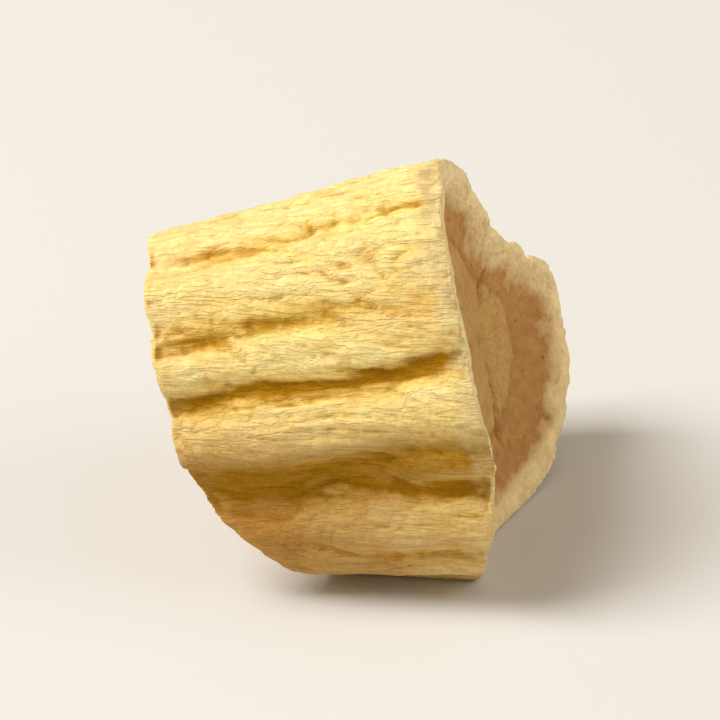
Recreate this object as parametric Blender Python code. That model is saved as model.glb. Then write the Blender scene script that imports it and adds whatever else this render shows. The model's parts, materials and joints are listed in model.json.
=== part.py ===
"""One cut piece of dried ginseng root, lying on the surface on a small trimmed flat.

The piece is a short stretch of a tapering root, cut across at both ends. Drying has drawn its section into a
rounded triangle, folded the skin into ridges and furrows that run along the root, and sunk both cut faces
inside a standing lip of bark. It grew in one piece, so it is one solid.

Metres, +Z up. +X runs along the root towards its wide end. The origin is on the surface, under the middle
of the piece.
"""

import math

import bmesh
import bpy

MM = 0.001

# The root's size. The section is measured at the wide cut, from the root's axis.
AXIS_LENGTH = 7.16 * MM
WIDE_HALF_WIDTH = 5.3 * MM
WIDE_HALF_HEIGHT = 6.28 * MM
NARROW_SHARE = 0.84

# The section is a rounded triangle, flattest at the upper back. An angle round the axis is 0 at the back,
# 90 on top and 180 in front.
TRIANGLE_DEPTH = 0.11
TOP_CORNER_DEG = 95.0
FLAT_DEG = 41.0
FLAT_DEPTH = 0.37
FLAT_NARROWNESS = 3

# The wide cut looks up a little. It is square to the root in front and leans away at the back, and its
# lower front corner curves back under.
WIDE_CUT_TILT = -0.22
WIDE_CUT_LEAN = 0.34
WIDE_CUT_TURN = 1.4 * MM
WIDE_CUT_CURVE = 0.052 / MM

# The narrow cut is a plane that leans both ways, and its lower front corner has broken off.
NARROW_CUT_TILT = -0.30
NARROW_CUT_LEAN = 0.25
BREAK_TOP = -1.5 * MM
BREAK_SLOPE = 0.78
BREAK_TURN = 0.8 * MM

# How gradually the front of a cut passes into its back.
FRONT_TURN = 2.0 * MM

# The flat that the piece rests on, above the lowest ridge before trimming.
TRIM_DEPTH = 0.26 * MM

# Each furrow: its angle round the axis in degrees, its depth in mm at the narrow cut and at the wide one, its
# half width in mm, and how many degrees it drifts from the narrow cut to the wide one. The first six face the
# viewer.
FURROWS = (
    (111.0, 0.28, 0.27, 0.42, -1.0),
    (141.0, 0.29, 0.13, 0.42, 4.0),
    (160.5, 0.50, 0.38, 0.42, -6.0),
    (187.0, 0.34, 0.34, 0.36, -7.0),
    (196.5, 1.02, 0.90, 0.68, -2.0),
    (214.0, 0.22, 0.34, 0.40, 2.0),
    (231.0, 0.38, 0.28, 0.38, -4.0),
    (250.0, 0.15, 0.16, 0.36, 3.0),
    (274.0, 0.12, 0.16, 0.36, -2.0),
    (297.0, 0.24, 0.15, 0.38, 4.0),
    (317.0, 0.22, 0.30, 0.38, -3.0),
    (338.0, 0.30, 0.32, 0.36, 3.0),
    (362.0, 0.74, 0.51, 0.46, 6.0),
    (385.0, 0.18, 0.18, 0.36, -4.0),
    (404.0, 0.24, 0.18, 0.38, 3.0),
    (427.0, 0.18, 0.12, 0.36, -3.0),
)
FURROW_WANDER_DEG = 1.5
FURROW_WANDERS = 1.3

# Slow swellings of the upper side, as shares of the radius.
SWELLING = 0.024
HUMP = 0.020

# A cut face, from the rim inwards. The fractions are shares of the way from the axis to the rim.
LIP_SHARE = 0.95
DISH_SHARE = 0.80
DISH_DEPTH = 0.52 * MM
CAMBIUM_SHARE = 0.58
CAMBIUM_WIDTH_SHARE = 0.06
CAMBIUM_DEPTH = 0.10 * MM
CORE_RISE = 0.16 * MM
CUT_RINGS = (0.97, 0.92, 0.86, 0.80, 0.66, 0.58, 0.50, 0.33, 0.16)
FURROW_REACH_SHARE = 0.45

# The mesh has a line of points along every furrow, and more at these shares of the way to the next one.
# Its stations along the root stand closer together near both rims.
BETWEEN_FURROWS = (0.0, 0.11, 0.24, 0.41, 0.59, 0.76, 0.89)
LINES = len(FURROWS) * len(BETWEEN_FURROWS)
STATIONS = 16
RIM_CROWDING = 0.6
RIM_PASSES = 12

SKIN_COLOUR = (0.79, 0.56, 0.22, 1.0)
SKIN_ROUGHNESS = 0.72


def smooth_step(low, high, value):
    """0 below low, 1 above high, and an even slope between them."""
    share = min(1.0, max(0.0, (value - low) / (high - low)))
    return share * share * (3.0 - 2.0 * share)


def groove(distance, half_width):
    """1 in the middle, a half at the half width, and a long tail that rounds what stands between grooves."""
    return 1.0 / (1.0 + (distance / half_width) ** 2)


def along(x):
    """0 at the narrow cut and 1 at the wide one, measured on the axis."""
    return 0.5 + x / AXIS_LENGTH


def taper(x):
    return NARROW_SHARE + (1.0 - NARROW_SHARE) * along(x)


def axis_height(x):
    """The axis climbs towards the wide end, so that the underside of the taper lies level."""
    return WIDE_HALF_HEIGHT * taper(x)


def section_point(angle, x):
    """A point of the section before any furrow, measured from the axis: depth y and height z."""
    upper = 0.5 + 0.5 * math.sin(angle)
    corner = math.cos(3.0 * (angle - math.radians(TOP_CORNER_DEG)))
    swelling = SWELLING * math.sin(2.0 * angle + 0.7) * math.sin(1.9 * math.pi * along(x) + 0.4)
    hump = HUMP * math.sin(math.pi * along(x))
    flat = FLAT_DEPTH * (0.5 + 0.5 * math.cos(angle - math.radians(FLAT_DEG))) ** FLAT_NARROWNESS
    share = taper(x) * (1.0 + TRIANGLE_DEPTH * corner - flat + upper * (swelling + hump))
    return WIDE_HALF_WIDTH * share * math.cos(angle), WIDE_HALF_HEIGHT * share * math.sin(angle)


def furrow_angle(number, x):
    """The angle of a furrow's bottom: it drifts and wanders along the root."""
    middle, _, _, _, drift = FURROWS[number]
    wander = FURROW_WANDER_DEG * math.sin(2.0 * math.pi * FURROW_WANDERS * along(x) + 1.7 * number)
    return math.radians(middle + drift * (along(x) - 0.5) + wander)


def furrow_depth(angle, x):
    """How far the skin is drawn in at this angle and station."""
    radius = 0.5 * (WIDE_HALF_WIDTH + WIDE_HALF_HEIGHT) * taper(x)
    depth = 0.0
    for number, (_, narrow_depth, wide_depth, half_width, _) in enumerate(FURROWS):
        away = radius * math.remainder(angle - furrow_angle(number, x), 2.0 * math.pi)
        deepest = narrow_depth + (wide_depth - narrow_depth) * smooth_step(0.0, 1.0, along(x))
        depth += deepest * MM * groove(away, half_width * MM)
    return depth


def line_angle(line, x):
    """The angle of one of the mesh's lines along the root. The lines follow the furrows."""
    number, step = divmod(line, len(BETWEEN_FURROWS))
    here = furrow_angle(number, x)
    following = furrow_angle((number + 1) % len(FURROWS), x)
    if following < here:
        following += 2.0 * math.pi
    return here + (following - here) * BETWEEN_FURROWS[step]


def skin_point(line, x):
    """A point of the folded skin, measured from the axis."""
    angle = line_angle(line, x)
    y, z = section_point(angle, x)
    kept = 1.0 - furrow_depth(angle, x) / math.hypot(y, z)
    return x, y * kept, z * kept


def bend(distance, turn):
    """0 well before the bend, the distance itself well past it, and a round turn between them."""
    return 0.5 * (distance + math.hypot(distance, turn))


def front(y):
    """1 in front, 0 at the back."""
    return 0.5 - 0.5 * y / math.hypot(y, FRONT_TURN)


def wide_cut(y, z):
    """The station at which the wide cut crosses this depth and height."""
    lean = WIDE_CUT_LEAN * bend(y, WIDE_CUT_TURN)
    curve = WIDE_CUT_CURVE * max(0.0, -z) ** 2 * front(y)
    return 0.5 * AXIS_LENGTH + WIDE_CUT_TILT * z + lean - curve


def narrow_cut(y, z):
    """The station at which the narrow cut crosses this depth and height."""
    broken = BREAK_SLOPE * bend(BREAK_TOP - z, BREAK_TURN) * front(y)
    return -0.5 * AXIS_LENGTH + NARROW_CUT_TILT * z + NARROW_CUT_LEAN * y + broken


def rim_point(line, cut):
    """Where a line of the skin meets a cut: a few passes, because the section depends on the station."""
    x = cut(0.0, 0.0)
    for _ in range(RIM_PASSES):
        _, y, z = skin_point(line, x)
        x = cut(y, z)
    return x, y, z


def dish(share):
    """How far a cut face lies below its rim: a standing lip, the sunken bark, the cambium and the core."""
    depth = DISH_DEPTH * (1.0 - smooth_step(DISH_SHARE, LIP_SHARE, share))
    depth += CAMBIUM_DEPTH * groove(share - CAMBIUM_SHARE, CAMBIUM_WIDTH_SHARE)
    return depth - CORE_RISE * (1.0 - smooth_step(0.0, CAMBIUM_SHARE, share))


def cut_point(line, share, cut, outwards):
    """A point of a cut face, between the axis and the rim. The furrows fade out towards the core."""
    rim_x, rim_y, rim_z = rim_point(line, cut)
    drawn_in = furrow_depth(line_angle(line, rim_x), rim_x) / math.hypot(rim_y, rim_z)
    grown = share * (1.0 + drawn_in * (1.0 - smooth_step(FURROW_REACH_SHARE, 1.0, share)))
    y, z = rim_y * grown, rim_z * grown
    return cut(y, z) - outwards * dish(share), y, z


def add_loop(shape, points):
    """Adds a closed loop of points, lifted from the axis's own frame to its height."""
    return [shape.verts.new((x, y, z + axis_height(x))) for x, y, z in points]


def cut_loops(shape, cut, outwards):
    """The rings of a cut face, from just inside the rim to just outside the centre."""
    return [
        add_loop(shape, [cut_point(line, share, cut, outwards) for line in range(LINES)])
        for share in CUT_RINGS
    ]


def skin_loops(shape):
    """The loops of the skin, from the narrow rim to the wide one."""
    starts = [rim_point(line, narrow_cut)[0] for line in range(LINES)]
    ends = [rim_point(line, wide_cut)[0] for line in range(LINES)]
    loops = []
    for station in range(STATIONS + 1):
        even = station / STATIONS
        share = even - RIM_CROWDING * math.sin(2.0 * math.pi * even) / (2.0 * math.pi)
        stations = [start + (end - start) * share for start, end in zip(starts, ends)]
        loops.append(add_loop(shape, [skin_point(line, x) for line, x in enumerate(stations)]))
    return loops


def bridge(shape, first, second):
    for i in range(LINES):
        j = (i + 1) % LINES
        shape.faces.new((first[i], first[j], second[j], second[i]))


def close(shape, ring, cut, outwards):
    """Fans the innermost ring of a cut face to its centre."""
    centre = add_loop(shape, [(cut(0.0, 0.0) - outwards * dish(0.0), 0.0, 0.0)])[0]
    for i in range(LINES):
        shape.faces.new((ring[i], ring[(i + 1) % LINES], centre))


def root_mesh():
    """The whole piece as one closed mesh: the narrow cut face, the skin and the wide cut face."""
    shape = bmesh.new()
    narrow_loops = cut_loops(shape, narrow_cut, -1.0)
    wide_loops = cut_loops(shape, wide_cut, 1.0)
    loops = narrow_loops[::-1] + skin_loops(shape) + wide_loops
    for first, second in zip(loops, loops[1:]):
        bridge(shape, first, second)
    close(shape, narrow_loops[-1], narrow_cut, -1.0)
    close(shape, wide_loops[-1], wide_cut, 1.0)
    bmesh.ops.recalc_face_normals(shape, faces=shape.faces)
    return shape


def settle(shape):
    """Moves the piece so that the trim plane is z = 0 and the middle of its outline is above the origin."""
    xs, ys, zs = zip(*(vertex.co for vertex in shape.verts))
    shift = (-0.5 * (min(xs) + max(xs)), -0.5 * (min(ys) + max(ys)), -(min(zs) + TRIM_DEPTH))
    bmesh.ops.translate(shape, vec=shift, verts=shape.verts)


def trim(piece):
    """Cuts the underside flat at z = 0 with a block that stays as a hidden helper."""
    depth = 4.0 * WIDE_HALF_HEIGHT
    bpy.ops.mesh.primitive_cube_add(size=2.0 * depth, location=(0.0, 0.0, -depth))
    block = bpy.context.object
    block.name = "trim_block"
    block.hide_render = True
    block.display_type = "WIRE"
    cut = piece.modifiers.new("trimmed_flat", "BOOLEAN")
    cut.operation = "DIFFERENCE"
    cut.solver = "EXACT"
    cut.object = block


def root_material():
    material = bpy.data.materials.new("dried_root")
    material.use_nodes = True
    shader = material.node_tree.nodes["Principled BSDF"]
    shader.inputs["Base Color"].default_value = SKIN_COLOUR
    shader.inputs["Roughness"].default_value = SKIN_ROUGHNESS
    shader.inputs["Metallic"].default_value = 0.0
    return material


def build_root_piece():
    shape = root_mesh()
    settle(shape)
    mesh = bpy.data.meshes.new("root_piece")
    shape.to_mesh(mesh)
    shape.free()
    mesh.materials.append(root_material())
    mesh.shade_smooth()
    piece = bpy.data.objects.new("root_piece", mesh)
    bpy.context.scene.collection.objects.link(piece)
    trim(piece)


def main():
    for thing in list(bpy.data.objects):
        bpy.data.objects.remove(thing)
    build_root_piece()


main()
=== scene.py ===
"""Dresses one cut piece of dried ginseng root and sets it on a small studio floor.

The piece starts as a copy of the solid. It gets a finer mesh, the relief that drying and the blade left on
it, and two materials: the bark on the skin and the starchy tissue on the two cuts.
"""

import json
import math

import bpy
import numpy as np
from mathutils import Matrix, Vector, bvhtree, kdtree, noise

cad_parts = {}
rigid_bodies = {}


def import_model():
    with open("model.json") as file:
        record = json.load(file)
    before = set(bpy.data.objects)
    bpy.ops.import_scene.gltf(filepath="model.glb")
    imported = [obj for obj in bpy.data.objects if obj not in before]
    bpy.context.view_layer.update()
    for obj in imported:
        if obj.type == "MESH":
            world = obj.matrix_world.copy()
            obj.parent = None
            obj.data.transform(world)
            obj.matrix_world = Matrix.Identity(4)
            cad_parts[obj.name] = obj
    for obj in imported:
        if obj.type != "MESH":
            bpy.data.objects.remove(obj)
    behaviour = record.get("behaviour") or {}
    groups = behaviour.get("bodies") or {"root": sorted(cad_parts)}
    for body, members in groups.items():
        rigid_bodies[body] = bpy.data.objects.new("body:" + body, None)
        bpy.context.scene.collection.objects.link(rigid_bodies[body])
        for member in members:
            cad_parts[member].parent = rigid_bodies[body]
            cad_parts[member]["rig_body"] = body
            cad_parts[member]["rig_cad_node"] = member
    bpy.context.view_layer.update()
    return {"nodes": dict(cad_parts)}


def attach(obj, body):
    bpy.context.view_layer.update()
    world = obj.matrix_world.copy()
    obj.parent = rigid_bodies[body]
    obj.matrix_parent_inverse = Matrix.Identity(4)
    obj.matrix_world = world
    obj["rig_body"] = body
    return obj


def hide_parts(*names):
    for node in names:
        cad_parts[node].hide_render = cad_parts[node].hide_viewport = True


bl_info = {
    "name": "Dried ginseng root piece",
    "version": (1, 0, 0),
    "blender": (4, 5, 0),
    "location": "3D View > Sidebar > Dried Root",
    "description": "Builds one cut piece of dried ginseng root and the studio that it lies in",
    "category": "Object",
}

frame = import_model()

MM = 0.001

# What a face lies on. The skin keeps the first of the two materials and both cuts take the second.
SKIN, WIDE_CUT, NARROW_CUT = 0, 1, 2

# Sockets of a Mix node that mixes colours.
MIX_FACTOR, MIX_A, MIX_B, MIX_RESULT = 0, 6, 7, 2


def linear(code):
    """An sRGB hex colour as linear red, green, blue and alpha."""
    shares = [int(code[place:place + 2], 16) / 255.0 for place in (1, 3, 5)]
    return tuple(c / 12.92 if c <= 0.04045 else ((c + 0.055) / 1.055) ** 2.4 for c in shares) + (1.0,)


def size_property(name, description, default):
    return bpy.props.FloatProperty(
        name=name, description=description, default=default, min=0.0, unit="LENGTH", subtype="DISTANCE",
        precision=6,
    )


def colour_property(name, description, default):
    return bpy.props.FloatVectorProperty(
        name=name, description=description, default=linear(default), size=4, min=0.0, max=1.0, subtype="COLOR"
    )


class DriedRootShape(bpy.types.PropertyGroup):
    """Sizes of the relief on the skin and on the cuts."""

    grain: size_property("Mesh grain", "Side of one face of the finished mesh", 0.078 * MM)
    wrinkles: size_property("Wrinkles", "Height of the long wrinkles between the furrows", 0.13 * MM)
    fine_wrinkles: size_property("Fine wrinkles", "Height of the fine wrinkles along the root", 0.11 * MM)
    lumps: size_property("Lumps", "Height of the swellings along a ridge", 0.045 * MM)
    cork: size_property("Cork", "Thickness of the cork that flakes off the bark", 0.022 * MM)
    rim_tear: size_property("Torn rim", "How far the bark at a rim is torn back", 0.13 * MM)
    rays: size_property("Rays", "Height of the rays of a cut face", 0.06 * MM)
    unevenness: size_property("Unevenness", "How far a cut face has warped in drying", 0.08 * MM)


class DriedRootColours(bpy.types.PropertyGroup):
    """Colours of the bark and of the cut faces."""

    bark: colour_property("Bark", "The golden bark on the side of a ridge", "#f6d478")
    bark_crest: colour_property("Crest", "The worn, paler bark on top of a ridge", "#ffeda9")
    bark_patch: colour_property("Patch", "The orange patches in the bark", "#ebb860")
    # Painted shade and warm bounced light: this colour darkens and browns the bark low down and at the narrow
    # end.
    bark_low_shade: colour_property("Underside", "The browner bark towards the underside", "#c3914c")
    # Partly painted shade: this colour also darkens the band along the deep furrow and the fine creases.
    bark_furrow_and_shade: colour_property("Furrow", "The darker bark in a furrow", "#ac7a0c")
    # Partly painted shade: this colour darkens the bottoms of the furrows.
    bark_deep_and_shade: colour_property("Deep furrow", "The darkest bark, at the bottom of a furrow", "#7d5808")
    bark_bare: colour_property("Bare bark", "The paler bark where the cork has flaked off", "#fde8ac")
    bark_rim: colour_property("Rim", "The pale, torn bark along a rim", "#e9d8a4")
    # Painted highlight: the lip is paler than the tissue for the light its edge would catch.
    lip_highlight: colour_property("Lip", "The standing lip round a cut face", "#ffe8b4")
    # Partly painted shade: cortex, core and ring are darker and browner than lit cut tissue, for the shade
    # the wide cut lies in.
    cortex: colour_property("Cortex", "The tissue between the bark and the ring", "#c49459")
    core: colour_property("Core", "The starchy tissue inside the ring", "#cda364")
    ring: colour_property("Ring", "The brown ring between core and cortex", "#9c7340")
    bark_torn: colour_property("Torn bark", "The duller bark between the pale specks of a rim", "#ccb37c")
    stain: colour_property("Stain", "The pinkish brown stains on a cut face", "#bb8755")
    resin: colour_property("Resin", "The dots of dried resin on a cut face", "#96581f")


class DriedRootStage(bpy.types.PropertyGroup):
    """The floor, the lights and the camera."""

    floor: colour_property("Floor", "The pale floor", "#dadde2")
    elevation: bpy.props.FloatProperty(
        name="Camera elevation", description="How far the camera looks down", default=math.radians(31.0),
        subtype="ANGLE",
    )
    distance: size_property("Camera distance", "From the camera to the middle of the piece", 320.0 * MM)
    lens: bpy.props.FloatProperty(
        name="Lens", description="Focal length of the camera", default=620.0, min=1.0, unit="CAMERA"
    )


# The mesh in numbers. Lengths here are in millimetres.


def select_only(thing):
    """Leaves this object as the only one selected, and makes it active."""
    bpy.ops.object.select_all(action="DESELECT")
    thing.select_set(True)
    bpy.context.view_layer.objects.active = thing


def smooth_step(low, high, values):
    """0 up to low, 1 from high on, and a smooth slope between the two."""
    share = np.clip((values - low) / (high - low), 0.0, 1.0)
    return share * share * (3.0 - 2.0 * share)


def bell(distance, width):
    """1 at no distance, about 0.4 at this width and 0 from twice the width on."""
    return np.exp(-((distance / width) ** 2))


def field(points, size, seed):
    """Smooth noise of about -1 to 1 with lumps of this size. A size of three numbers stretches the lumps."""
    shifted = points / np.asarray(size) + 31.7 * seed
    return np.array([noise.noise(point) for point in shifted.tolist()])


def folds(points, size, seed):
    """Rounded crests of up to about 0.5 between sharp creases of about -0.25."""
    return np.abs(field(points, size, seed)) - 0.25


def mesh_points(mesh):
    """The places of the mesh's points, a row for each."""
    points = np.empty(3 * len(mesh.vertices))
    mesh.vertices.foreach_get("co", points)
    return points.reshape(-1, 3)


def mesh_normals(mesh):
    """Which way the surface faces at each point of the mesh."""
    normals = np.empty(3 * len(mesh.vertices), np.float32)
    mesh.vertex_normals.foreach_get("vector", normals)
    return normals.reshape(-1, 3).astype(float)


def mesh_edges(mesh):
    """The numbers of the two points that each edge joins."""
    edges = np.empty(2 * len(mesh.edges), np.int32)
    mesh.edges.foreach_get("vertices", edges)
    return edges.reshape(-1, 2)


def relaxed(points, edges, passes):
    """The points after each has moved to the middle of its neighbours this many times."""
    one_way = np.concatenate([edges[:, 0], edges[:, 1]])
    other_way = np.concatenate([edges[:, 1], edges[:, 0]])
    neighbours = np.maximum(np.bincount(one_way, minlength=len(points)), 1)
    for _ in range(passes):
        columns = [
            np.bincount(one_way, weights=points[other_way, axis], minlength=len(points)) for axis in range(3)
        ]
        points = 0.5 * points + 0.5 * np.stack(columns, axis=1) / neighbours[:, None]
    return points


def hollow(points, normals, edges, passes):
    """How far each point lies below its relaxed surroundings, above 0 in a furrow and below 0 on a crest."""
    return np.sum((relaxed(points, edges, passes) - points) * normals, axis=1)


# Building the piece.

# Points of the solid that lie this close together, in mm, are one point.
MERGE_DISTANCE = 0.0005

# A face is on a cut if its normal leans this much along the root, or this much in towards the axis.
CUT_LEAN = 0.5
LIP_LEAN = 0.15

# How far a rim resists the rounding of the solid, from 0 to 1.
RIM_CREASE = 0.8


def copy_of_solid():
    """A merged copy of the CAD node, in millimetres, that stands free of it."""
    select_only(frame["nodes"]["root_piece"])
    bpy.ops.object.duplicate()
    piece = bpy.context.object
    bpy.ops.object.parent_clear(type="CLEAR_KEEP_TRANSFORM")
    piece.name = piece.data.name = "dried_root"
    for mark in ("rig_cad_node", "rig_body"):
        del piece[mark]
    piece.data.materials.clear()
    piece.data.transform(Matrix.Scale(1.0 / MM, 4))
    bpy.ops.object.mode_set(mode="EDIT")
    bpy.ops.mesh.select_all(action="SELECT")
    bpy.ops.mesh.remove_doubles(threshold=MERGE_DISTANCE)
    bpy.ops.object.mode_set(mode="OBJECT")
    if piece.data.has_custom_normals:
        bpy.ops.mesh.customdata_custom_splitnormals_clear()
    return piece


def cut_middle(mesh, side):
    """The point in the middle of a cut face, where most of the mesh's lines meet."""
    lines = np.bincount(mesh_edges(mesh).ravel(), minlength=len(mesh.vertices))
    lines[mesh_points(mesh)[:, 0] * side < 0.0] = 0
    return mesh.vertices[int(np.argmax(lines))].co.copy()


def mark_cuts(mesh, middles):
    """Gives the cut faces their own slots: they look along the root or, inside a rim, in towards its axis."""
    narrow, wide = middles[NARROW_CUT], middles[WIDE_CUT]
    for face in mesh.polygons:
        along = (face.center.x - narrow.x) / (wide.x - narrow.x)
        slot, side = (WIDE_CUT, 1.0) if along > 0.5 else (NARROW_CUT, -1.0)
        away = face.center - narrow.lerp(wide, along)
        inwards = -face.normal.dot(away.normalized())
        on_cut = face.normal.x * side > CUT_LEAN or inwards > LIP_LEAN
        face.material_index = slot if on_cut else SKIN


def rim_edges(mesh):
    """The edges where a cut face meets the skin."""
    slots = {}
    for face in mesh.polygons:
        for key in face.edge_keys:
            slots.setdefault(key, set()).add(face.material_index)
    return [index for index, key in enumerate(mesh.edge_keys) if len(slots[key]) > 1]


def smooth_copy(piece):
    """Rounds the facets of the solid and keeps the rims crisp."""
    mesh = piece.data
    crease = mesh.attributes.new("crease_edge", "FLOAT", "EDGE")
    for index in rim_edges(mesh):
        crease.data[index].value = RIM_CREASE
    bpy.ops.object.mode_set(mode="EDIT")
    bpy.ops.mesh.select_all(action="SELECT")
    bpy.ops.mesh.tris_convert_to_quads(
        face_threshold=math.radians(50.0), shape_threshold=math.radians(60.0), materials=True
    )
    bpy.ops.object.mode_set(mode="OBJECT")
    rounding = piece.modifiers.new("rounded", "SUBSURF")
    rounding.levels = rounding.render_levels = 2
    bpy.ops.object.modifier_apply(modifier=rounding.name)


def even_mesh(piece, grain):
    """Makes the mesh anew with even faces, as clay for the relief."""
    remesh = piece.modifiers.new("even", "REMESH")
    remesh.mode = "VOXEL"
    remesh.voxel_size = grain
    bpy.ops.object.modifier_apply(modifier=remesh.name)


class Survey:
    """What each point of the even mesh lies on, measured against the smooth copy."""

    def __init__(self, mesh, middles):
        self.middles = middles
        faces = [tuple(face.vertices) for face in mesh.polygons]
        self.slots = np.array([face.material_index for face in mesh.polygons])
        self.tree = bvhtree.BVHTree.FromPolygons([v.co for v in mesh.vertices], faces)
        edges = mesh_edges(mesh)
        points = mesh_points(mesh)
        ends = edges[rim_edges(mesh)]
        steps = np.linspace(0.0, 1.0, 5)[:, None, None]
        self.rim = (points[ends[:, 0]] * (1.0 - steps) + points[ends[:, 1]] * steps).reshape(-1, 3)

    def settle(self, points):
        """The points laid on the smooth copy, which takes the steps of the even mesh off them."""
        nearest = [self.tree.find_nearest(point) for point in points.tolist()]
        self.slot = self.slots[[face for _, _, face, _ in nearest]]
        return np.array([place[:] for place, _, _, _ in nearest])

    def take(self, points):
        """Notes each point's distance to the nearest rim and its place round the axis and on the cuts."""
        narrow, wide = np.array(self.middles[NARROW_CUT]), np.array(self.middles[WIDE_CUT])
        self.along = (points[:, 0] - narrow[0]) / (wide[0] - narrow[0])
        away = points - (narrow + (wide - narrow) * self.along[:, None])
        self.bearing = np.arctan2(away[:, 2], away[:, 1])
        self.reach = np.hypot(away[:, 1], away[:, 2])
        rim_tree = kdtree.KDTree(len(self.rim))
        for index, point in enumerate(self.rim.tolist()):
            rim_tree.insert(point, index)
        rim_tree.balance()
        self.rim_distance = np.array([rim_tree.find(point)[2] for point in points.tolist()])
        half_way = 0.5 * (self.middles[NARROW_CUT].x + self.middles[WIDE_CUT].x)
        self.outwards = np.where(points[:, 0] > half_way, 1.0, -1.0)
        self.angle = np.zeros(len(points))
        self.share = np.zeros(len(points))
        self.radius = np.zeros(len(points))
        for side, slot in ((1.0, WIDE_CUT), (-1.0, NARROW_CUT)):
            middle = np.array(self.middles[slot])
            rim = self.rim[(self.rim[:, 0] - half_way) * side > 0.0] - middle
            rim_angle = np.arctan2(rim[:, 2], rim[:, 1])
            order = np.argsort(rim_angle)
            here = self.outwards == side
            away = points[here] - middle
            angle = np.arctan2(away[:, 2], away[:, 1])
            radius = np.hypot(away[:, 1], away[:, 2])
            rim_reach = np.hypot(rim[:, 1], rim[:, 2])
            reach = np.interp(angle, rim_angle[order], rim_reach[order], period=2.0 * math.pi)
            self.angle[here], self.radius[here], self.share[here] = angle, radius, radius / reach


# Small round scars where rootlets broke off: the share of the way to the wide cut, the angle round the axis
# in degrees and the radius in mm. Each is a pit in a low ring. Their height and depth in mm follow.
ROOTLET_SCARS = ((0.72, 40.0, 0.34), (0.24, 15.0, 0.30), (0.55, 322.0, 0.36))
SCAR_RING = 0.07
SCAR_PIT = 0.12

# The band along the deep furrow that carries painted shade and calmer wrinkles: its angle round the axis in
# degrees at the narrow cut and at the wide one, and its half width in mm.
DARK_BAND = (195.5, 186.0, 0.90)

# Cracks of a cut face: the cut, the angle in degrees, the shares of the radius where it starts and ends, and
# its half width in mm.
CRACKS = (
    (WIDE_CUT, 152.0, 0.16, 0.86, 0.10),
    (WIDE_CUT, 28.0, 0.30, 0.92, 0.09),
    (WIDE_CUT, -74.0, 0.10, 0.74, 0.11),
    (NARROW_CUT, 96.0, 0.12, 0.88, 0.10),
    (NARROW_CUT, -20.0, 0.24, 0.80, 0.12),
    (NARROW_CUT, -140.0, 0.40, 0.93, 0.08),
)
CRACK_DEPTH = 0.20

# The ring of a cut face: its share of the radius, and how far it has sunk in mm.
CAMBIUM_SHARE = 0.58
CAMBIUM_DEPTH = 0.03

# Heights in mm of the finest relief: cross creases and grains on the skin, and crumbs on a cut face.
CROSS_CREASES = 0.045
SKIN_GRAINS = 0.016
CUT_CRUMBS = 0.045


def flaked(points, furrow):
    """1 where the thin cork has flaked off and 0 where it is whole. Most of it goes from the crests."""
    patches = field(points, (1.5, 0.75, 0.75), 50) + 0.5 * field(points, (0.6, 0.3, 0.3), 51)
    patches += 0.2 * field(points, 0.16, 52)
    patches -= 0.16 * np.clip(furrow, -1.5, 1.5)
    return smooth_step(0.16, 0.26, patches)


def skin_relief(points, furrow, survey, shape):
    """Height of the wrinkles, lumps, cross creases and flaked cork on the skin."""
    drift = np.stack([field(points, 3.0, 1), field(points, 3.0, 2), field(points, 3.0, 3)], axis=1)
    drifted = points + 0.8 * drift
    sheltered = np.maximum(smooth_step(0.2, 1.1, furrow), dark_band(survey))
    wrinkles = folds(drifted, (5.0, 0.85, 0.85), 4) * (1.0 - 0.8 * sheltered)
    fine = folds(drifted, (3.0, 0.28, 0.28), 5) * smooth_step(-0.6, 0.2, field(points, 1.7, 6))
    lumps = field(points, (1.8, 0.8, 0.8), 7) + 0.4 * field(points, (0.8, 0.4, 0.4), 8)
    creases = folds(drifted, (0.42, 1.8, 1.8), 9) * smooth_step(-0.1, 0.4, field(points, 1.9, 10))
    grains = field(points, 0.2, 11)
    height = shape.wrinkles / MM * wrinkles + shape.fine_wrinkles / MM * fine + shape.lumps / MM * lumps
    height += CROSS_CREASES * creases
    height += SKIN_GRAINS * grains
    return height - shape.cork / MM * survey.flaked


def turn_between(angle, other):
    """The shortest turn from one angle to the other, in radians."""
    return np.angle(np.exp(1j * (angle - other)))


def dark_band(survey):
    """1 in the middle of the deep furrow, over the rib that parts it in two, and 0 well outside it."""
    start, end, half_width = DARK_BAND
    middle = np.radians(start + (end - start) * survey.along)
    return bell(survey.reach * turn_between(survey.bearing, middle), half_width)


def scar_relief(points, survey):
    """Low ringed pits on the skin."""
    height = np.zeros(len(points))
    length = survey.middles[WIDE_CUT].x - survey.middles[NARROW_CUT].x
    for share, degrees, size in ROOTLET_SCARS:
        turn = turn_between(survey.bearing, math.radians(degrees))
        away = np.hypot(length * (survey.along - share), survey.reach * turn) + 0.12 * field(points, 0.5, 45)
        height += SCAR_RING * bell(away - size, 0.12) - SCAR_PIT * bell(away, 0.6 * size)
    return height


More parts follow.
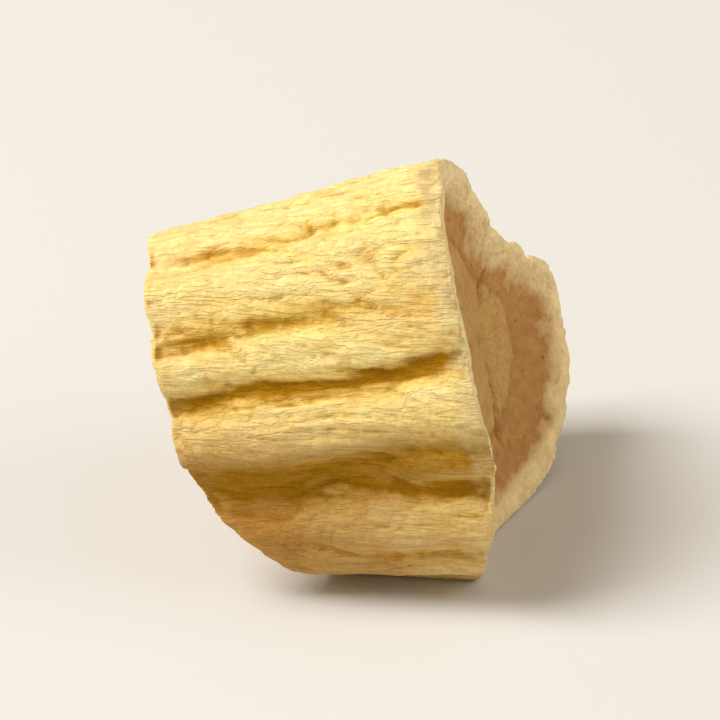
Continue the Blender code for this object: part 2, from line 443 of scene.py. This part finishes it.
def cut_relief(points, survey, shape):
    """Height of the rays, the ring, the cracks and the crumbly grain of a cut face."""
    angle, share, radius = survey.angle, survey.share, survey.radius
    drift = 0.05 * field(points, 1.4, 20)
    ray_place = np.stack([12.0 * np.cos(angle + drift), 12.0 * np.sin(angle + drift), 1.6 * share], axis=1)
    rays = folds(ray_place, 1.0, 21) * smooth_step(0.08, 0.35, share)
    rays *= 1.0 - 0.5 * smooth_step(0.8, 1.0, share)
    crumb = folds(points, 0.42, 22) + 0.5 * folds(points, 0.2, 23)
    height = shape.rays / MM * rays + shape.unevenness / MM * field(points, 1.7, 25) + CUT_CRUMBS * crumb
    height -= CAMBIUM_DEPTH * bell(share - CAMBIUM_SHARE - 0.03 * field(points, 0.9, 26), 0.035)
    for slot, degrees, start, end, width in CRACKS:
        side = 1.0 if slot == WIDE_CUT else -1.0
        line = math.radians(degrees) + 0.10 * field(points, 1.2, 27) + 0.05 * field(points, 0.4, 28)
        away = radius * turn_between(angle, line)
        open_here = smooth_step(start, start + 0.12, share) * (1.0 - smooth_step(end - 0.15, end, share))
        height -= CRACK_DEPTH * bell(away, width) * open_here * (survey.outwards == side)
    return height


# How widely the mesh is relaxed to find its hollows, in passes, and the depth in mm that counts as 1.
TROUGHS = (480, 0.24)
FURROWS = (120, 0.08)
CREASES = (14, 0.03)

# Handling has rounded the rims: the mesh is relaxed this often, within about this distance of a rim in mm.
RIM_WEAR_PASSES = 3
RIM_WEAR_REACH = 0.15

# The relief of the skin gives way to that of the cut within this distance of a rim in mm.
RIM_BLEND = 0.25

# The crumbs along a rim: their height and how far they reach from it, in mm.
RIM_CRUMBS = (0.09, 0.7)

# The torn bark reaches this far from a rim in mm. More of it is torn off than stands out, by this share.
RIM_TEAR_REACH = 0.24
RIM_TEAR_LOSS = 0.30

# The relief starts at the floor and is whole at these heights in mm, so that the piece rests on its flat.
RELIEF_WHOLE = 0.5
TEAR_WHOLE = 0.3


def hollows(points, normals, edges, scale):
    """The hollows of one of the three scales above, as shares of its depth."""
    passes, depth = scale
    return hollow(points, normals, edges, passes) / depth


def furrow_guide(points, normals, edges):
    """0 on an even flank, 1 in a narrow furrow or a broad trough, 2 where both meet, and -1 on a crest."""
    return 0.6 * hollows(points, normals, edges, FURROWS) + 0.6 * hollows(points, normals, edges, TROUGHS)


def edges_within(mesh, survey):
    """The edges that don't cross a rim, so that a furrow counts as deep right up to the rim."""
    edges = mesh_edges(mesh)
    on_cut = survey.slot != SKIN
    return edges[on_cut[edges[:, 0]] == on_cut[edges[:, 1]]]


def carve(piece, survey, shape):
    """Moves the points of the even mesh by the relief of the skin, the cuts and the torn rims."""
    mesh = piece.data
    points = survey.settle(mesh_points(mesh))
    mesh.vertices.foreach_set("co", points.ravel())
    mesh.update()
    normals = mesh_normals(mesh)
    survey.take(points)
    on_cut = survey.slot != SKIN
    towards_skin = np.where(on_cut, -survey.rim_distance, survey.rim_distance)
    skin_share = smooth_step(-RIM_BLEND, RIM_BLEND, towards_skin)
    furrow = furrow_guide(points, normals, edges_within(mesh, survey))
    survey.flaked = flaked(points, furrow)
    height = skin_relief(points, furrow, survey, shape) + scar_relief(points, survey)
    crumbs = 0.6 * field(points, 0.42, 43) + 0.4 * field(points, 0.24, 44)
    crumb_height, crumb_reach = RIM_CRUMBS
    height += crumb_height * crumbs * bell(survey.rim_distance, crumb_reach)
    height = skin_share * height + (1.0 - skin_share) * cut_relief(points, survey, shape)
    height *= smooth_step(0.0, RELIEF_WHOLE, points[:, 2])
    tear = field(points, 1.1, 40) + 0.4 * field(points, 0.45, 41) + 0.35 * field(points, 0.24, 42)
    tear -= RIM_TEAR_LOSS
    pull = shape.rim_tear / MM * tear * bell(survey.rim_distance, RIM_TEAR_REACH)
    pull *= smooth_step(0.0, TEAR_WHOLE, points[:, 2])
    moved = points + normals * height[:, None]
    moved[:, 0] += survey.outwards * pull
    worn = relaxed(moved, mesh_edges(mesh), RIM_WEAR_PASSES)
    moved += (worn - moved) * bell(survey.rim_distance, RIM_WEAR_REACH)[:, None]
    moved[:, 2] = np.maximum(moved[:, 2], 0.0)
    mesh.vertices.foreach_set("co", moved.ravel())
    mesh.update()


def paint_guides(piece, survey):
    """Stores what the materials follow: furrows, rims and the place on a cut face."""
    mesh = piece.data
    points, normals, edges = mesh_points(mesh), mesh_normals(mesh), edges_within(mesh, survey)
    guides = {
        "furrow": furrow_guide(points, normals, edges),
        "crease": hollows(points, normals, edges, CREASES),
        "rim": survey.rim_distance,
        "flaked": survey.flaked,
        "dark": dark_band(survey),
        "share": survey.share,
    }
    for name, values in guides.items():
        attribute = mesh.attributes.new(name, "FLOAT", "POINT")
        attribute.data.foreach_set("value", values.astype(np.float32))
    ray = np.stack([np.cos(survey.angle), np.sin(survey.angle), survey.share], axis=1)
    attribute = mesh.attributes.new("ray", "FLOAT_VECTOR", "POINT")
    attribute.data.foreach_set("vector", ray.astype(np.float32).ravel())
    on_cut = (survey.slot != SKIN).astype(float)
    for face in mesh.polygons:
        face.material_index = int(on_cut[list(face.vertices)].mean() > 0.5)


# Materials.


def add_node(tree, kind, output, inputs=None, **settings):
    """Adds a node with its settings, fills or links its inputs, and gives back the named output."""
    node = tree.nodes.new(kind)
    for name, value in settings.items():
        setattr(node, name, value)
    for name, value in (inputs or {}).items():
        if isinstance(value, bpy.types.NodeSocket):
            tree.links.new(value, node.inputs[name])
        else:
            node.inputs[name].default_value = value
    return node.outputs[output]


def new_material(name):
    """A new material with its node tree and its main shader."""
    material = bpy.data.materials.new(name)
    material.use_nodes = True
    return material, material.node_tree, material.node_tree.nodes["Principled BSDF"]


def guide(tree, name):
    """One of the numbers that paint_guides stored on the mesh."""
    return add_node(tree, "ShaderNodeAttribute", "Fac", attribute_name=name)


def dried_bark(colours):
    """Dried root bark: thin, matt, papery cork, shrunk on the root, golden on ridges, brown in furrows, with
    painted shade in the furrows and low down.
    """
    material, tree, shader = new_material("dried_bark")
    place = add_node(tree, "ShaderNodeTexCoord", "Object")
    lengthways = add_node(tree, "ShaderNodeSeparateXYZ", "X", {"Vector": place})
    height = add_node(tree, "ShaderNodeSeparateXYZ", "Z", {"Vector": place})
    furrow, crease, rim = guide(tree, "furrow"), guide(tree, "crease"), guide(tree, "rim")

    # Orange patches 2.6 mm wide, mottling 0.5 mm wide, and speckles 0.12 mm wide.
    patches = add_node(
        tree, "ShaderNodeTexNoise", "Fac",
        {"Vector": place, "Scale": 1.0 / (2.6 * MM), "Detail": 3.0, "Roughness": 0.6},
    )
    mottles = add_node(
        tree, "ShaderNodeTexNoise", "Fac",
        {"Vector": place, "Scale": 1.0 / (0.5 * MM), "Detail": 4.0, "Roughness": 0.65},
    )
    speckles = add_node(
        tree, "ShaderNodeTexNoise", "Fac",
        {"Vector": place, "Scale": 1.0 / (0.12 * MM), "Detail": 2.0, "Roughness": 0.6},
    )
    patch = add_node(
        tree, "ShaderNodeMapRange", "Result", {"Value": patches, "From Min": 0.50, "From Max": 0.72}
    )
    mottle = add_node(
        tree, "ShaderNodeMapRange", "Result", {"Value": mottles, "From Min": 0.36, "From Max": 0.64}
    )

    # Hair wrinkles 0.2 mm apart and ten times as long, along the root: 0 at the bottom of one, 1 between two.
    along = add_node(tree, "ShaderNodeMapping", "Vector", {"Vector": place, "Scale": (0.1, 1.0, 1.0)})
    hairs = add_node(
        tree, "ShaderNodeTexNoise", "Fac",
        {"Vector": along, "Scale": 1.0 / (0.2 * MM), "Detail": 3.0, "Roughness": 0.55, "Distortion": 0.4},
    )
    from_hair = add_node(tree, "ShaderNodeMath", "Value", {0: hairs, 1: 0.5}, operation="SUBTRACT")
    hair_gap = add_node(tree, "ShaderNodeMath", "Value", {0: from_hair}, operation="ABSOLUTE")
    hair = add_node(
        tree, "ShaderNodeMapRange", "Result", {"Value": hair_gap, "From Min": 0.0, "From Max": 0.09}
    )

    # The crests are rubbed pale, more in some mottles than in others, and the bark is paler without its cork.
    crest = add_node(
        tree, "ShaderNodeMapRange", "Result",
        {"Value": furrow, "From Min": 0.15, "From Max": -0.50, "To Max": 0.9},
    )
    worn = add_node(tree, "ShaderNodeMapRange", "Result", {"Value": mottle, "To Min": 0.45, "To Max": 1.0})
    rubbed = add_node(tree, "ShaderNodeMath", "Value", {0: crest, 1: worn}, operation="MULTIPLY")
    bare = add_node(
        tree, "ShaderNodeMath", "Value", {0: guide(tree, "flaked"), 1: 0.35}, operation="MULTIPLY"
    )

    # Painted shade and warm bounced light: the bark is darker and browner below 6.5 mm, and most of all at
    # the narrow end.
    low = add_node(
        tree, "ShaderNodeMapRange", "Result",
        {"Value": height, "From Min": 6.5 * MM, "From Max": 2.0 * MM, "To Max": 1.1},
    )
    narrow_end = add_node(
        tree, "ShaderNodeMapRange", "Result",
        {"Value": lengthways, "From Min": 1.5 * MM, "From Max": -2.5 * MM, "To Max": 0.55},
    )
    browner = add_node(tree, "ShaderNodeMath", "Value", {0: patches, 1: narrow_end}, operation="ADD")
    low_shade = add_node(
        tree, "ShaderNodeMath", "Value", {0: low, 1: browner}, operation="MULTIPLY", use_clamp=True
    )

    # Furrows are brown with ragged edges, partly bark colour and partly painted shade, and the band along the
    # deep one is painted shade. Their bottoms are darkest, with painted shade.
    ragged = add_node(
        tree, "ShaderNodeMath", "Value", {0: mottles, 1: 0.9, 2: furrow}, operation="MULTIPLY_ADD"
    )
    depth = add_node(
        tree, "ShaderNodeMapRange", "Result",
        {"Value": ragged, "From Min": 0.46, "From Max": 1.28, "To Max": 0.98},
    )
    band_mottle = add_node(
        tree, "ShaderNodeMapRange", "Result", {"Value": mottle, "To Min": 0.82, "To Max": 1.0}
    )
    band_shade = add_node(
        tree, "ShaderNodeMath", "Value", {0: guide(tree, "dark"), 1: band_mottle}, operation="MULTIPLY"
    )
    browned_and_shaded = add_node(tree, "ShaderNodeMath", "Value", {0: depth, 1: band_shade}, operation="MAXIMUM")
    bottom = add_node(
        tree, "ShaderNodeMapRange", "Result",
        {"Value": furrow, "From Min": 0.6, "From Max": 1.6, "To Max": 0.2},
    )
    # Painted shade in the fine creases of the bark.
    crease_shade = add_node(
        tree, "ShaderNodeMapRange", "Result",
        {"Value": crease, "From Min": 0.1, "From Max": 1.1, "To Max": 0.6},
    )

    coat = colours.bark
    for amount, colour in (
        (patch, colours.bark_patch),
        (rubbed, colours.bark_crest),
        (bare, colours.bark_bare),
        (low_shade, colours.bark_low_shade),
        (browned_and_shaded, colours.bark_furrow_and_shade),
        (bottom, colours.bark_deep_and_shade),
        (crease_shade, colours.bark_furrow_and_shade),
    ):
        coat = add_node(
            tree, "ShaderNodeMix", MIX_RESULT,
            {MIX_FACTOR: amount, MIX_A: coat, MIX_B: colour}, data_type="RGBA",
        )
    streaks = add_node(tree, "ShaderNodeMapRange", "Result", {"Value": hair, "To Min": 0.91, "To Max": 1.02})
    grains = add_node(
        tree, "ShaderNodeMapRange", "Result",
        {"Value": speckles, "From Min": 0.32, "From Max": 0.68, "To Min": 0.92, "To Max": 1.07},
    )
    for shade in (streaks, grains):
        coat = add_node(
            tree, "ShaderNodeMix", MIX_RESULT,
            {MIX_FACTOR: 1.0, MIX_A: coat, MIX_B: shade}, data_type="RGBA", blend_type="MULTIPLY",
        )

    # The torn, pale edge is 0.3 to 1 mm wide. It is fainter low down and at the narrow end.
    wavers = add_node(
        tree, "ShaderNodeTexNoise", "Fac", {"Vector": place, "Scale": 1.0 / (1.2 * MM), "Detail": 2.0}
    )
    rim_wide = add_node(
        tree, "ShaderNodeMath", "Value", {0: wavers, 1: 1.6, 2: rim}, operation="MULTIPLY_ADD"
    )
    rim_ragged = add_node(
        tree, "ShaderNodeMath", "Value", {0: mottles, 1: 0.9, 2: rim_wide}, operation="MULTIPLY_ADD"
    )
    torn = add_node(
        tree, "ShaderNodeMapRange", "Result",
        {"Value": rim_ragged, "From Min": 2.0, "From Max": 1.6, "To Max": 0.85},
    )
    wide_end = add_node(
        tree, "ShaderNodeMapRange", "Result",
        {"Value": lengthways, "From Min": -2.0 * MM, "From Max": 1.0 * MM, "To Min": 0.2, "To Max": 1.0},
    )
    high = add_node(
        tree, "ShaderNodeMapRange", "Result",
        {"Value": height, "From Min": 4.0 * MM, "From Max": 8.0 * MM, "To Min": 0.3, "To Max": 1.0},
    )
    fresher = add_node(tree, "ShaderNodeMath", "Value", {0: wide_end, 1: high}, operation="MULTIPLY")
    pale = add_node(tree, "ShaderNodeMath", "Value", {0: torn, 1: fresher}, operation="MULTIPLY")

    # Its pale specks are 0.3 mm wide.
    specks = add_node(
        tree, "ShaderNodeTexNoise", "Fac",
        {"Vector": place, "Scale": 1.0 / (0.3 * MM), "Detail": 3.0, "Roughness": 0.6},
    )
    speck = add_node(
        tree, "ShaderNodeMapRange", "Result", {"Value": specks, "From Min": 0.38, "From Max": 0.60}
    )
    rim_colour = add_node(
        tree, "ShaderNodeMix", MIX_RESULT,
        {MIX_FACTOR: speck, MIX_A: colours.bark_torn, MIX_B: colours.bark_rim}, data_type="RGBA",
    )
    edged = add_node(
        tree, "ShaderNodeMix", MIX_RESULT,
        {MIX_FACTOR: pale, MIX_A: coat, MIX_B: rim_colour}, data_type="RGBA",
    )
    tree.links.new(edged, shader.inputs["Base Color"])

    roughness = add_node(
        tree, "ShaderNodeMapRange", "Result", {"Value": mottle, "To Min": 0.66, "To Max": 0.84}
    )
    tree.links.new(roughness, shader.inputs["Roughness"])
    grit = add_node(
        tree, "ShaderNodeMath", "Value", {0: hair, 1: 0.7, 2: speckles}, operation="MULTIPLY_ADD"
    )
    bump = add_node(
        tree, "ShaderNodeBump", "Normal", {"Height": grit, "Strength": 0.8, "Distance": 0.04 * MM}
    )
    tree.links.new(bump, shader.inputs["Normal"])
    shader.inputs["Specular IOR Level"].default_value = 0.06
    shader.inputs["Subsurface Weight"].default_value = 0.05
    shader.inputs["Subsurface Radius"].default_value = (1.0, 0.7, 0.4)
    shader.inputs["Subsurface Scale"].default_value = 0.25 * MM
    return material


def starchy_tissue(colours):
    """Cut root tissue, dried after the cut: chalky and grainy, with rays from the core out to the bark."""
    material, tree, shader = new_material("starchy_tissue")
    place = add_node(tree, "ShaderNodeTexCoord", "Object")
    share, crease, rim = guide(tree, "share"), guide(tree, "crease"), guide(tree, "rim")
    ray = add_node(tree, "ShaderNodeAttribute", "Vector", attribute_name="ray")

    # The ring wavers by a few hundredths of the radius, in steps 1 mm wide.
    wavers = add_node(
        tree, "ShaderNodeTexNoise", "Fac", {"Vector": place, "Scale": 1.0 / (1.0 * MM), "Detail": 2.0}
    )
    waver = add_node(
        tree, "ShaderNodeMapRange", "Result", {"Value": wavers, "To Min": -0.05, "To Max": 0.05}
    )
    wavering = add_node(tree, "ShaderNodeMath", "Value", {0: share, 1: waver}, operation="ADD")
    outside = add_node(
        tree, "ShaderNodeMapRange", "Result",
        {"Value": wavering, "From Min": CAMBIUM_SHARE - 0.05, "From Max": CAMBIUM_SHARE + 0.03},
    )
    from_ring = add_node(
        tree, "ShaderNodeMath", "Value", {0: wavering, 1: CAMBIUM_SHARE}, operation="SUBTRACT"
    )
    ring_gap = add_node(tree, "ShaderNodeMath", "Value", {0: from_ring}, operation="ABSOLUTE")
    ring = add_node(
        tree, "ShaderNodeMapRange", "Result",
        {"Value": ring_gap, "From Min": 0.05, "From Max": 0.0, "To Max": 0.35},
    )

    # Rays 0.25 mm apart at the bark.
    rays = add_node(
        tree, "ShaderNodeTexNoise", "Fac", {"Vector": ray, "Scale": 14.0, "Detail": 3.0, "Roughness": 0.6}
    )
    ray_shade = add_node(
        tree, "ShaderNodeMapRange", "Result",
        {"Value": rays, "From Min": 0.3, "From Max": 0.7, "To Min": 0.78, "To Max": 1.10},
    )

    # Stains 1.3 mm wide, and orange dots of dried resin, 0.1 mm wide and 0.5 mm apart, outside the ring.
    stains = add_node(
        tree, "ShaderNodeTexNoise", "Fac",
        {"Vector": place, "Scale": 1.0 / (1.3 * MM), "Detail": 4.0, "Roughness": 0.65},
    )
    stain = add_node(
        tree, "ShaderNodeMapRange", "Result",
        {"Value": stains, "From Min": 0.45, "From Max": 0.70, "To Max": 0.6},
    )
    dots = add_node(
        tree, "ShaderNodeTexVoronoi", "Distance", {"Vector": place, "Scale": 1.0 / (0.5 * MM)}
    )
    dot = add_node(
        tree, "ShaderNodeMapRange", "Result",
        {"Value": dots, "From Min": 0.16, "From Max": 0.06, "To Max": 0.7},
    )
    resin = add_node(tree, "ShaderNodeMath", "Value", {0: dot, 1: outside}, operation="MULTIPLY")
    # Painted shade in the cracks and creases of the cut face.
    crease_shade = add_node(
        tree, "ShaderNodeMapRange", "Result",
        {"Value": crease, "From Min": 0.3, "From Max": 1.6, "To Max": 0.7},
    )

    # The standing lip, 0.5 to 1 mm wide, with mottles 0.35 mm wide, is painted paler than the sunken tissue
    # as a painted highlight.
    lip_mottles = add_node(
        tree, "ShaderNodeTexNoise", "Fac",
        {"Vector": place, "Scale": 1.0 / (0.35 * MM), "Detail": 4.0, "Roughness": 0.65},
    )
    lip_wide = add_node(
        tree, "ShaderNodeMath", "Value", {0: wavers, 1: 0.8, 2: rim}, operation="MULTIPLY_ADD"
    )
    lip_ragged = add_node(
        tree, "ShaderNodeMath", "Value", {0: lip_mottles, 1: 0.8, 2: lip_wide}, operation="MULTIPLY_ADD"
    )
    pale = add_node(
        tree, "ShaderNodeMapRange", "Result",
        {"Value": lip_ragged, "From Min": 1.80, "From Max": 1.35, "To Max": 0.9},
    )
    lip_shade = add_node(
        tree, "ShaderNodeMapRange", "Result",
        {"Value": lip_mottles, "From Min": 0.35, "From Max": 0.65, "To Min": 0.82, "To Max": 1.08},
    )
    lip_highlight = add_node(
        tree, "ShaderNodeMix", MIX_RESULT,
        {MIX_FACTOR: 1.0, MIX_A: colours.lip_highlight, MIX_B: lip_shade}, data_type="RGBA", blend_type="MULTIPLY",
    )

    tissue = colours.core
    for amount, colour, blend in (
        (outside, colours.cortex, "MIX"),
        (ring, colours.ring, "MIX"),
        (1.0, ray_shade, "MULTIPLY"),
        (stain, colours.stain, "MIX"),
        (resin, colours.resin, "MIX"),
        (crease_shade, colours.ring, "MIX"),
        (pale, lip_highlight, "MIX"),
    ):
        tissue = add_node(
            tree, "ShaderNodeMix", MIX_RESULT,
            {MIX_FACTOR: amount, MIX_A: tissue, MIX_B: colour}, data_type="RGBA", blend_type=blend,
        )
    tree.links.new(tissue, shader.inputs["Base Color"])

    # Starch grains, drawn 0.12 mm wide so that they show.
    grains = add_node(
        tree, "ShaderNodeTexVoronoi", "Distance", {"Vector": place, "Scale": 1.0 / (0.12 * MM)}
    )
    height = add_node(tree, "ShaderNodeMath", "Value", {0: grains, 1: rays}, operation="ADD")
    bump = add_node(
        tree, "ShaderNodeBump", "Normal", {"Height": height, "Strength": 0.8, "Distance": 0.05 * MM}
    )
    tree.links.new(bump, shader.inputs["Normal"])
    shader.inputs["Roughness"].default_value = 0.85
    shader.inputs["Specular IOR Level"].default_value = 0.06
    shader.inputs["Subsurface Weight"].default_value = 0.12
    shader.inputs["Subsurface Radius"].default_value = (1.0, 0.6, 0.3)
    shader.inputs["Subsurface Scale"].default_value = 0.4 * MM
    return material


def studio_floor(stage):
    """Matt, seamless studio paper: plain and even, with no shine."""
    material, _, shader = new_material("studio_paper")
    shader.inputs["Base Color"].default_value = stage.floor
    shader.inputs["Roughness"].default_value = 0.9
    return material


class OBJECT_OT_dried_root(bpy.types.Operator):
    """Builds the piece of dried root over its solid"""

    bl_idname = "object.dried_root_piece"
    bl_label = "Dried Root Piece"

    def execute(self, context):
        shape, colours = context.scene.dried_root_shape, context.scene.dried_root_colours
        piece = copy_of_solid()
        middles = {WIDE_CUT: cut_middle(piece.data, 1.0), NARROW_CUT: cut_middle(piece.data, -1.0)}
        mark_cuts(piece.data, middles)
        smooth_copy(piece)
        survey = Survey(piece.data, middles)
        even_mesh(piece, shape.grain / MM)
        carve(piece, survey, shape)
        piece.data.materials.clear()
        piece.data.materials.append(dried_bark(colours))
        piece.data.materials.append(starchy_tissue(colours))
        paint_guides(piece, survey)
        piece.data.transform(Matrix.Scale(MM, 4))
        piece.data.shade_smooth()
        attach(piece, "root")
        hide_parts("root_piece")
        return {"FINISHED"}


# Soft square lights: name, place and side in metres, power in watts and colour.
LIGHTS = (
    ("key", (-0.18, -0.03, 0.28), 0.16, 1.12, "#fffaf0"),
    ("side", (0.26, -0.04, 0.16), 0.20, 0.24, "#fff8ec"),
)

# The light that comes from all round.
WORLD_COLOUR = "#ffebcb"
WORLD_STRENGTH = 0.38

# The height that the lights and the camera look at, in metres, and the side of the floor.
LOOK_HEIGHT = 4.9 * MM
FLOOR_SIDE = 4.0


class OBJECT_OT_dried_root_stage(bpy.types.Operator):
    """Builds the floor, the lights and the camera"""

    bl_idname = "object.dried_root_stage"
    bl_label = "Stage"

    def execute(self, context):
        stage = context.scene.dried_root_stage
        bpy.ops.object.select_all(action="DESELECT")
        bpy.ops.mesh.primitive_plane_add(size=FLOOR_SIDE, location=(0.0, 0.0, 0.0))
        floor = context.object
        floor.name = "studio_floor"
        floor.data.materials.append(studio_floor(stage))
        middle = Vector((0.0, 0.0, LOOK_HEIGHT))
        for name, place, size, power, colour in LIGHTS:
            bpy.ops.object.light_add(type="AREA", location=place)
            lamp = context.object
            lamp.name = name
            lamp.data.size = size
            lamp.data.energy = power
            lamp.data.color = linear(colour)[:3]
            lamp.rotation_euler = (Vector(place) - middle).to_track_quat("Z", "Y").to_euler()
        world = bpy.data.worlds.new("studio")
        world.use_nodes = True
        background = world.node_tree.nodes["Background"]
        background.inputs["Color"].default_value = linear(WORLD_COLOUR)
        background.inputs["Strength"].default_value = WORLD_STRENGTH
        context.scene.world = world
        back = Vector((0.0, -math.cos(stage.elevation), math.sin(stage.elevation)))
        bpy.ops.object.camera_add(location=middle + back * stage.distance)
        camera = context.object
        camera.rotation_euler = back.to_track_quat("Z", "Y").to_euler()
        camera.data.lens = stage.lens
        camera.data.clip_start, camera.data.clip_end = 0.01, 10.0
        context.scene.camera = camera
        context.scene.view_settings.view_transform = "Standard"
        return {"FINISHED"}


class VIEW3D_PT_dried_root(bpy.types.Panel):
    """Lists the operators and the sizes, colours and stage settings"""

    bl_idname = "VIEW3D_PT_dried_root"
    bl_label = "Dried Root"
    bl_space_type = "VIEW_3D"
    bl_region_type = "UI"
    bl_category = "Dried Root"

    def draw(self, context):
        scene = context.scene
        for group in (scene.dried_root_shape, scene.dried_root_colours, scene.dried_root_stage):
            column = self.layout.column()
            for name in group.__annotations__:
                column.prop(group, name)
        self.layout.operator("object.dried_root_piece")
        self.layout.operator("object.dried_root_stage")


CLASSES = (
    DriedRootShape,
    DriedRootColours,
    DriedRootStage,
    OBJECT_OT_dried_root,
    OBJECT_OT_dried_root_stage,
    VIEW3D_PT_dried_root,
)


def register():
    """Makes the classes known and hangs the three groups of settings on the scene."""
    for made in CLASSES:
        bpy.utils.register_class(made)
    bpy.types.Scene.dried_root_shape = bpy.props.PointerProperty(type=DriedRootShape)
    bpy.types.Scene.dried_root_colours = bpy.props.PointerProperty(type=DriedRootColours)
    bpy.types.Scene.dried_root_stage = bpy.props.PointerProperty(type=DriedRootStage)


def unregister():
    """Takes back all that register did."""
    del bpy.types.Scene.dried_root_stage
    del bpy.types.Scene.dried_root_colours
    del bpy.types.Scene.dried_root_shape
    for made in reversed(CLASSES):
        bpy.utils.unregister_class(made)


def main():
    """Builds the piece and its stage."""
    register()
    bpy.ops.object.dried_root_piece()
    bpy.ops.object.dried_root_stage()


if __name__ == "__main__":
    main()
